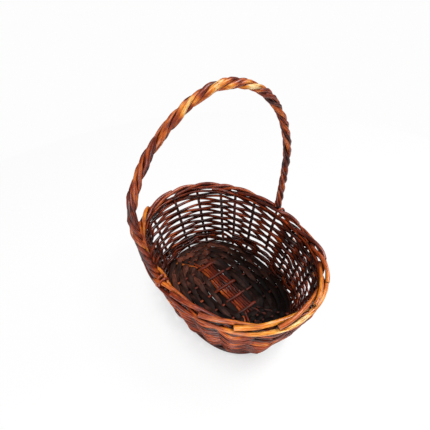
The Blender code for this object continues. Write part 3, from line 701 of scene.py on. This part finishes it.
# The wall: two weavers climb half a turn apart, one outside each post where the other is inside
wall = {
    "firstHeight": 0.0127, "lastHeight": 0.1176, "weavers": 2, "rods": 6, "postsPerRod": 28,
    "radius": 0.0029, "uneven": (0.95, 1.05), "standoff": 0.0052,
    "thinning": (1.08, 0.16),            # at a rod's thick end, and lost towards the other
    "riseHeight": 0.118,                 # the rows here rise as much as the rim does, lower ones less
    # how far crowding shifts a rod, and how fast that changes round the basket and upwards
    "crowding": 0.0014, "crowdRing": 2.4, "crowdHeight": 0.018,
    # the open place low at the right end, the slits at its foot, and the closed place at the back right
    "openTurn": 0.065, "openSpread": 0.075, "openTop": 0.106, "openFade": 0.02,
    "openThinner": 0.55, "openFlatter": 0.4, "bandThinner": 0.65,
    "slitTop": 0.030, "slitFrom": 0.012, "slitRise": 0.75, "slitWidth": 1.6, "slitHeight": 0.05,
    "closedTurn": 0.2, "closedSpread": 0.04, "closedHeight": 0.095, "closedReach": 0.04, "closedThicker": 0.5,
    # the front and the tones; outside a post a rod is set lighter as painted light and inside darker as
    # painted shade, and the front lighter as painted light
    "frontTurn": 0.89, "frontSpread": 0.12, "frontThicker": 0.2, "frontPaintedLight": 0.06, "frontEvener": 0.5,
    "tone": 0.38, "paintedSideLightShade": 0.22, "chance": 0.06, "lowDarker": 0.12, "lowHeight": 0.055,
    "stretches": (0.32, 0.7, 3.1, 5),    # some stretches of a rod are lighter, as it was smoother there
    "stray": (0.0006, 0.025, 0),
    # the heights of the thin rods at the bottom edge and under the border, and what is their own
    "bands": [0.0105, 0.0150, 0.0200, 0.0255, 0.0300, 0.1160, 0.1200, 0.1240, 0.1280, 0.1318],
    "bandRadius": 0.0022, "bandGap": 0.0008, "bandStart": 7, "bandPast": 3, "highBands": 0.1,
    "bandTone": 0.28, "bandPaintedSideLightShade": 0.13, "bandChance": (0.08, 5.1), "bandStretches": (0.8, 20),
    "bandStray": (0.0007, 0.03, 50),
}


# Woven rods crowd together in some places and leave gaps in others
def crowded(turn, height):
    x, y = wall["crowdRing"] * math.cos(turn * fullTurn), wall["crowdRing"] * math.sin(turn * fullTurn)
    return height + wall["crowding"] * noise.noise(Vector((x, y, height / wall["crowdHeight"])))


# 1 low at the right end, where the wall is open because its rods are thin and nearly straight
def opened(turn, height):
    below = min(max((wall["openTop"] - height) / wall["openFade"], 0), 1)
    return bell(turnFrom(turn, wall["openTurn"]) / wall["openSpread"]) * below


# The lowest rods rise from the foot there, which leaves slits under them
def slit(turn, height):
    if height <= wall["slitFrom"]:
        return 0
    share = min(wall["slitWidth"] * opened(turn, wall["slitHeight"]), 1)
    return wall["slitRise"] * max(wall["slitTop"] - height, 0) * share


# The rods are thicker at the back right, where they close the wall, and thinner where it is open
def thickened(turn, height):
    closed = bell(turnFrom(turn, wall["closedTurn"]) / wall["closedSpread"],
                  (height - wall["closedHeight"]) / wall["closedReach"])
    return 1 + wall["closedThicker"] * closed - wall["openThinner"] * opened(turn, height)


# 1 at the front of the wall, which is the most orange, partly as painted light
def facingFront(turn):
    return bell(turnFrom(turn, wall["frontTurn"]) / wall["frontSpread"])


# A rod passes a post outside, side 1, or inside, side -1, and lies in the wall half way to the next
def makeWeavers():
    rods = []
    dice = random.Random(11)
    thick, thinner = wall["thinning"]
    climb = (wall["lastHeight"] - wall["firstHeight"]) * postCount / (wall["rods"] * wall["postsPerRod"])
    for weaver in range(wall["weavers"]):
        firstPost = weaver * postCount // wall["weavers"]
        for link in range(wall["rods"]):
            number = weaver * wall["rods"] + link
            stations = []
            for step in range(2 * wall["postsPerRod"] - 1):
                position = firstPost + link * wall["postsPerRod"] + step / 2
                turn = turnAt(position)
                height = crowded(turn, wall["firstHeight"] + climb * (turn - weaver / wall["weavers"]))
                height += farRise(turn) * (height / wall["riseHeight"]) ** 2 + slit(turn, height)
                side = 0
                if step % 2 == 0:
                    side = 1 if (round(position) + weaver) % 2 else -1
                front = facingFront(turn)
                radius = wall["radius"] * (thick - thinner * step / (2 * wall["postsPerRod"]))
                radius *= dice.uniform(*wall["uneven"]) * thickened(turn, height)
                radius *= 1 + wall["frontThicker"] * front * (side == 1)
                low = max(1 - height / wall["lowHeight"], 0)
                # painted light and shade: lighter where a rod passes outside a post, darker inside it, and
                # lighter at the front
                tone = wall["tone"] + wall["paintedSideLightShade"] * side * (1 - wall["frontEvener"] * front)
                tone += wall["chance"] * dice.uniform(-1, 1) + uneven(wall["stretches"], position, number)
                tone += wall["frontPaintedLight"] * front - wall["lowDarker"] * low
                standoff = wall["standoff"] * (1 - wall["openFlatter"] * opened(turn, height))
                stations.append((wallPoint(turn, height, side * standoff), radius, tone, 0.0))
            rods.append(cutEnds(wander(smoothRod(stations), wall["stray"], firstPost + link)))
    return rods


# Bands of thin rods close the weave at the bottom edge and under the border, past two posts and behind one
def makeBands():
    rods = []
    strength, seed = wall["bandStretches"]
    chance, seedStep = wall["bandChance"]
    for number, height in enumerate(wall["bands"]):
        stations = []
        for step in range(2 * postCount - 1):
            position = number * wall["bandStart"] + step / 2
            turn = turnAt(position)
            side = 0
            if step % 2 == 0:
                side = -1 if (round(position) + number) % wall["bandPast"] == 0 else 1
            # painted light and shade: lighter outside a post, darker behind it
            tone = wall["bandTone"] + wall["bandPaintedSideLightShade"] * side + chance * math.sin(number * seedStep)
            tone += strength * uneven(wall["stretches"], position, number + seed)
            lifted = height + farRise(turn) * (height > wall["highBands"]) + slit(turn, height)
            spot = wallPoint(turn, lifted, side * (wall["standoff"] + wall["bandGap"]))
            thinner = wall["bandThinner"] * opened(turn, height) * (height > wall["slitFrom"])
            stations.append((spot, wall["bandRadius"] * (1 - thinner), tone, 0.0))
        rods.append(cutEnds(wander(smoothRod(stations), wall["bandStray"], number)))
    return rods


# It runs backwards from one position to another
innerRod = {
    "start": 8.3, "end": -12.4, "steps": 100, "radius": 0.0027, "outward": -0.0060, "upward": -0.0080,
    "beginning": 1.3, "beginsIn": 0.0045, "beginsUp": 0.0080, "beginsThicker": 0.3,
    "ending": 1.5, "endsDown": 0.003, "tones": (0.33, 0.35), "stray": (0.0012, 0.04, 31),
}


# One rod lies inside the stakes, under the border: its thick end shows on top at the back
def makeInnerRod():
    stations = []
    for step in range(innerRod["steps"] + 1):
        position = mix(innerRod["start"], innerRod["end"], step / innerRod["steps"])
        begun = max(1 - (innerRod["start"] - position) / innerRod["beginning"], 0)
        ended = max(1 - (position - innerRod["end"]) / innerRod["ending"], 0)
        outward = innerRod["outward"] - innerRod["beginsIn"] * begun
        upward = innerRod["upward"] + innerRod["beginsUp"] * begun - innerRod["endsDown"] * ended
        radius = innerRod["radius"] * (1 + innerRod["beginsThicker"] * begun)
        stations.append((borderPlace(position, outward, upward), radius, mix(*innerRod["tones"], begun), 0.0))
    return [cutEnds(wander(smoothRod(stations), innerRod["stray"]))]


rodPiece("wall_weave", makeWeavers() + makeBands() + makeInnerRod(), wovenWillow,
         [f"side_row_{n:02d}" for n in range(1, 13)])

stake = {
    "radius": 0.0030, "heights": (0.0095, 0.03, 0.06, 0.09), "bendShares": (0.35, 0.7), "stepsPerPost": 5,
    "dark": (0.16, 0.36), "frontDarker": 0.1, "light": 0.49, "farDarker": 0.27, "chance": 0.10,
    "bendDarker": 0.1, "endLighter": 0.08, "glow": 0.42,
    "thickness": (0.94, 0.12),           # at the bend, and gained towards the cut end
    "stray": (0.0010, 0.035, 60),
}


# A stake stands in the wall, darkened there as painted shade, bends at the rim, and its laid end is lighter
# and thicker
def makeStakes():
    rods = []
    dice = random.Random(6)
    laidSteps = border["span"] * stake["stepsPerPost"]
    thin, thicker = stake["thickness"]
    for index, turn in enumerate(basket["posts"]):
        if index in basket["bowPosts"]:
            continue
        thick = mix(border["radius"], border["farRadius"], farShare(turn)) * dice.uniform(*border["uneven"])
        light = stake["light"] - stake["farDarker"] * farShare(turn) + stake["chance"] * dice.uniform(-1, 1)
        # the upright part is set dark as painted shade inside the weave
        dark = dice.uniform(*stake["dark"]) - stake["frontDarker"] * facingFront(turn)
        neck = wallMiddle(turn, basket["rimHeight"] - border["turnRadius"] - border["bend"])
        upright = [wallMiddle(turn, height) for height in stake["heights"]] + [neck]
        stations = [(place, stake["radius"], dark, 0.0) for place in upright]
        positions = [index - step / stake["stepsPerPost"] for step in range(laidSteps + 1)]
        laid = [borderPlace(position, *borderOffset(index, position)) for position in positions]
        for share in stake["bendShares"]:
            bend = neck.lerp(laid[0], share).lerp(laid[0].lerp(laid[1], share), share)
            stations.append((bend, mix(stake["radius"], thick, share), light - stake["bendDarker"], 0.0))
        for step, (position, place) in enumerate(zip(positions[1:], laid[1:])):
            share = step / (laidSteps - 1)
            tone = light + stake["endLighter"] * share + stake["glow"] * bleached(turnAt(position))
            stations.append((place, thick * (thin + thicker * share), tone, 0.0))
        rods.append(cutEnds(wander(smoothRod(stations), stake["stray"], index)))
    return rods


rodPiece("stakes_and_border", makeStakes(), barkWillow, [f"stake_{n:02d}" for n in range(1, 19)],
         {"Sides": 12})

outerRod = {
    "start": 5.3, "stepsPerPost": 5, "steps": 100, "radius": 0.0026, "outward": 0.0058, "upward": -0.0042,
    "bowPosition": 15.05, "bowReach": 0.6, "bowOut": 0.002, "rightIn": 0.0012, "rightThicker": 0.3,
    "swelling": (0.25, 1.3, 4, 1), "tone": 0.32,
    "glows": ((0.44, -0.08, 2), (0.30, 0.06, 1)),              # how much, how far past the rim's, how narrow
    "stray": (0.0006, 0.04, 7),
}


# The long outer rod starts and ends behind the far foot of the handle
def makeOuterRod():
    stations = []
    for step in range(outerRod["steps"]):
        position = outerRod["start"] + step / outerRod["stepsPerPost"]
        turn = turnAt(position)
        right = bleached(turn)
        glow = sum(amount * bleached(turn - shift) ** power for amount, shift, power in outerRod["glows"])
        atBow = bell((position % postCount - outerRod["bowPosition"]) / outerRod["bowReach"])
        outward = outerRod["outward"] + outerRod["bowOut"] * atBow - outerRod["rightIn"] * right
        swelling = outerRod["rightThicker"] * right + uneven(outerRod["swelling"], position)
        place = borderPlace(position, outward, outerRod["upward"])
        stations.append((place, outerRod["radius"] * (1 + swelling), outerRod["tone"] + glow, 0.0))
    return [cutEnds(wander(smoothRod(stations), outerRod["stray"]))]


rodPiece("border_outer_rod_bark", makeOuterRod(), barkWillow, ["border_outer_rod"],
         {"Sides": 12})


# The handle: a bow pushed into the wall at both sides, with four rods roped round it
handle = {
    "halfWidth": 0.1429, "wideHeight": 0.250, "topHeight": 0.3955, "topRoundness": 1.85, "flankPower": 1.6,
    "sway": 0.0028, "swayPower": 1.4, "topLean": 0.0028, "farOut": 0.0012, "flankSteps": 24, "topSteps": 96,
    "bowRadius": 0.0022, "bowStep": 0.006, "bowTone": 0.4,
    "bowFoot": [(0.05, 0.0030), (0.09, 0.0032)], "bowFootTone": 0.3,   # height, radius
    "ropeFoot": 0.1425, "lay": 0.080, "tighter": 0.9, "ropeStep": 0.003,
    "strands": [(0.0035, 0.0033, 0.51), (0.0029, 0.0039, 0.37),    # radius, distance from the middle, tone
                (0.0034, 0.0034, 0.45), (0.0028, 0.0040, 0.33)],
    "slip": (0.12, 20, 2.3, 7), "swelling": (0.36, 36, 5.1, 2), "reach": (0.30, 50, 2.9, 4),
    "patches": (0.24, 26, 3.3, 9),
    "palePlaces": (-0.0485, 0.001, 0.050), "paleReach": 0.016, "pale": 0.38,
    "highlightSide": (0.76, -0.5, 0.42), "highlightFrom": 0.1, "highlightFade": 0.5,
    "topPaintedLight": 0.03, "topMiddle": 0.005, "topReach": 0.06,
    "farDarker": 0.07, "farReach": 0.14, "farBelow": 0.33,
    "nearDarker": 0.10, "nearReach": 0.16, "nearBelow": 0.30,
    "stray": (0.0008, 0.018, 70),
}


# The bow's line in the plane across the basket, from a height at the near side over the top to the far side
def handleLine(fromHeight):
    wide, top, rim = handle["wideHeight"], handle["topHeight"], basket["rimHeight"]
    narrower = handle["halfWidth"] - basket["rim"][1]

    def shift(height):
        share = max((height - rim) / (top - rim), 0)
        sway = handle["sway"] * math.sin(1.5 * math.pi * share ** handle["swayPower"])
        return sway - handle["topLean"] * share ** 4

    def flank(side, height):
        drop = max((wide - height) / (wide - rim), 0)
        y = handle["halfWidth"] - narrower * drop ** handle["flankPower"]
        y += handle["farOut"] * drop * (side > 0)
        return Vector((0, side * y - shift(height), height))

    heights = [mix(fromHeight, wide, step / handle["flankSteps"]) for step in range(handle["flankSteps"])]
    crown = []
    for step in range(handle["topSteps"] + 1):
        half = (1 - step / handle["topSteps"]) / 2
        place = ovalPoint((handle["halfWidth"], top - wide, handle["topRoundness"]), half)
        crown.append(Vector((0, place.x - shift(wide + place.y), wide + place.y)))
    return [flank(-1, height) for height in heights] + crown + [flank(1, height) for height in heights[::-1]]


# Places along a line, as evenly apart as the spacing allows, each with the way the line goes there
def evenly(line, spacing):
    lengths = [0.0]
    for near, far in zip(line, line[1:]):
        lengths.append(lengths[-1] + (far - near).length)
    count = round(lengths[-1] / spacing)
    places, index = [], 0
    for step in range(count + 1):
        wanted = lengths[-1] * step / count
        while index < len(line) - 2 and lengths[index + 1] < wanted:
            index += 1
        share = (wanted - lengths[index]) / (lengths[index + 1] - lengths[index])
        near, far = line[index:index + 2]
        places.append((near.lerp(far, share), (far - near).normalized()))
    return places


def makeBow():
    def footAt(post):
        turn, tone = basket["posts"][post], handle["bowFootTone"]
        return [(wallMiddle(turn, height), radius, tone, 0.0) for height, radius in handle["bowFoot"]]

    farPost, nearPost = basket["bowPosts"]
    line = evenly(handleLine(basket["rimHeight"]), handle["bowStep"])
    bow = [(place, handle["bowRadius"], handle["bowTone"], 0.0) for place, way in line]
    return [cutEnds(footAt(nearPost) + bow + footAt(farPost)[::-1])]


# Two thick rods and two thin ones; in three places near the top they are paler, partly worn bark and partly a
# painted highlight on the side facing the front lamp, and the crown is a little lighter as painted light
def makeStrands():
    strands = []
    across = Vector((1, 0, 0))
    highlightSide = Vector(handle["highlightSide"])
    for strand, (thick, reach, plain) in enumerate(handle["strands"]):
        stations = []
        run = 0.0
        for place, way in evenly(handleLine(handle["ropeFoot"]), handle["ropeStep"]):
            turns = strand / len(handle["strands"]) + uneven(handle["slip"], run, strand)
            angle = (turns - run / handle["lay"] - handle["tighter"] * run ** 2) * fullTurn
            run += handle["ropeStep"]
            side = across * math.cos(angle) + way.cross(across) * math.sin(angle)
            radius = thick * (1 + uneven(handle["swelling"], run, strand))
            outward = reach * (1 + uneven(handle["reach"], run, strand))
            # paler places: worn bark, shown only on the side facing the front lamp as a painted highlight
            worn = max(math.exp(-((place.y - y) / handle["paleReach"]) ** 4) for y in handle["palePlaces"])
            facing = min(max((side.dot(highlightSide) - handle["highlightFrom"]) / handle["highlightFade"], 0), 1)
            # the crown is set a little lighter as painted light
            tone = plain + handle["topPaintedLight"] * bell((place.y - handle["topMiddle"]) / handle["topReach"])
            if place.z < handle["farBelow"]:
                tone -= handle["farDarker"] * max(place.y, 0) / handle["farReach"]
            if place.y < 0:
                tone -= handle["nearDarker"] * max(handle["nearBelow"] - place.z, 0) / handle["nearReach"]
            tone += uneven(handle["patches"], run, strand) + handle["pale"] * worn * facing
            stations.append((place + side * outward, radius, tone, 0.0))
        strands.append(cutEnds(wander(stations, handle["stray"], strand)))
    return strands


rodPiece("handle_bow_rod", makeBow(), handleWillow, ["handle_bow"])
rodPiece("handle_rope", makeStrands(), handleWillow, [f"handle_strand_{n}" for n in range(1, 5)],
         {"Sides": 14, "Bark relief": 0.0014, "Bark length": 0.008,
                         "Knot relief": 0.0012, "Knot spacing": 0.03})


# Each lashing: the position where it starts, how far on it ends, its turns and how wide it is wound
lashings = {
    "back": (4.86, -0.12, 0.9, 0.0076), "front": (15.10, 0.26, 1.3, 0.0090),
    "steps": 32, "firstAngle": 0.36, "lower": 0.0004, "radius": 0.0024, "tone": 0.42,
}


# Lashings beside the handle's feet: a red rod wound about once round the border
def makeLashing(position, onward, turns, reach):
    stations = []
    for step in range(lashings["steps"] + 1):
        share = step / lashings["steps"]
        angle = (lashings["firstAngle"] - turns * share) * fullTurn
        place = borderPlace(position + onward * share, reach * math.cos(angle),
                            reach * math.sin(angle) - lashings["lower"])
        stations.append((place, lashings["radius"], lashings["tone"], 0.0))
    return cutEnds(stations)


rodPiece("handle_lashings", [makeLashing(*lashings["back"]), makeLashing(*lashings["front"])], barkWillow,
         ["lashing_back", "lashing_front"])
print("basket: rods done")


# Floor, light and camera
studio = {
    "floorSize": 60, "floorDrop": 0.0002, "paperColour": "#f4f4f4", "paperRough": 0.95, "paperGloss": 0.1,
    "backColour": "#fdfdfd", "shadowReach": 0.08,
    "shadow": {"From Min": 0.3, "From Max": 0.85, "To Min": 0.45, "To Max": 0.95},
    "shadowFade": {"From Min": 0.35, "From Max": 1.0}, # metres from the middle of the basket
    "sky": {"To Min": 0.26, "To Max": 0.985},          # on the basket, and as the camera sees it
    "lamps": {"key": ((0.4, 0.8, 1.35), 0.5, 24), "top": ((0.2, -0.3, 1.6), 0.6, 12),
              "front": ((0.8, -1.1, 0.35), 0.4, 14)},  # place, size, watts
    "aim": (0, 0, 0.1),
    "cameraPlace": (0.306457, -0.230984, 0.504848), "cameraAngles": (50.96077, 2.32575, 53.06896),
    "lens": 25.377, "sensor": 36, "clip": 0.02,
}


def makeFloor():
    bpy.ops.mesh.primitive_plane_add(size=studio["floorSize"], location=(0, 0, -studio["floorDrop"]))
    floor = bpy.context.object
    floor.name = "studio_floor"
    paper = bpy.data.materials.new("white studio paper")
    paper.use_nodes = True
    tree = paper.node_tree
    shader = tree.nodes["Principled BSDF"]
    shader.inputs["Base Color"].default_value = hexColour(studio["paperColour"])
    shader.inputs["Roughness"].default_value = studio["paperRough"]
    shader.inputs["Specular IOR Level"].default_value = studio["paperGloss"]
    # to the camera the paper shows plain white, and its own shading only close to the basket
    path = addNode(tree, "ShaderNodeLightPath")
    glow = addNode(tree, "ShaderNodeEmission",
                   inputs={"Color": hexColour(studio["backColour"]), "Strength": 1.0})
    shut = addNode(tree, "ShaderNodeAmbientOcclusion", inputs={"Distance": studio["shadowReach"]})
    openness = addNode(tree, "ShaderNodeMapRange", {"Value": shut.outputs["AO"]}, studio["shadow"])
    spot = addNode(tree, "ShaderNodeTexCoord")
    distance = addNode(tree, "ShaderNodeVectorMath", {0: spot.outputs["Object"]}, operation="LENGTH")
    far = addNode(tree, "ShaderNodeMapRange", {"Value": distance.outputs["Value"]}, studio["shadowFade"])
    clear = addNode(tree, "ShaderNodeMath", {0: openness.outputs[0], 1: far.outputs[0]}, operation="MAXIMUM")
    share = addNode(tree, "ShaderNodeMath", {0: path.outputs["Is Camera Ray"], 1: clear.outputs[0]},
                    operation="MULTIPLY")
    mixed = addNode(tree, "ShaderNodeMixShader",
                    {0: share.outputs[0], 1: shader.outputs[0], 2: glow.outputs[0]})
    tree.links.new(mixed.outputs[0], tree.nodes["Material Output"].inputs["Surface"])
    floor.data.materials.append(paper)


def makeLight():
    world = bpy.data.worlds.new("soft studio")
    bpy.context.scene.world = world
    world.use_nodes = True
    sky = world.node_tree
    back = sky.nodes["Background"]
    back.inputs["Color"].default_value = (1, 1, 1, 1)
    path = addNode(sky, "ShaderNodeLightPath")
    strength = addNode(sky, "ShaderNodeMapRange", {"Value": path.outputs["Is Camera Ray"]}, studio["sky"])
    sky.links.new(strength.outputs[0], back.inputs["Strength"])
    for name, (place, size, power) in studio["lamps"].items():
        light = bpy.data.lights.new(name, "AREA")
        light.size = size
        light.energy = power
        lamp = bpy.data.objects.new(name, light)
        lamp.location = place
        lamp.rotation_euler = (Vector(studio["aim"]) - Vector(place)).to_track_quat("-Z", "Y").to_euler()
        bpy.context.scene.collection.objects.link(lamp)


def makeCamera():
    camera = bpy.data.cameras.new("camera")
    camera.lens = studio["lens"]
    camera.sensor_width = studio["sensor"]
    camera.clip_start = studio["clip"]
    eye = bpy.data.objects.new("camera", camera)
    turned = Euler([math.radians(angle) for angle in studio["cameraAngles"]]).to_matrix().to_4x4()
    eye.matrix_world = Matrix.Translation(studio["cameraPlace"]) @ turned
    bpy.context.scene.collection.objects.link(eye)
    bpy.context.scene.camera = eye


makeFloor()
makeLight()
makeCamera()
bpy.context.scene.view_settings.view_transform = "Standard"
bpy.context.view_layer.update()
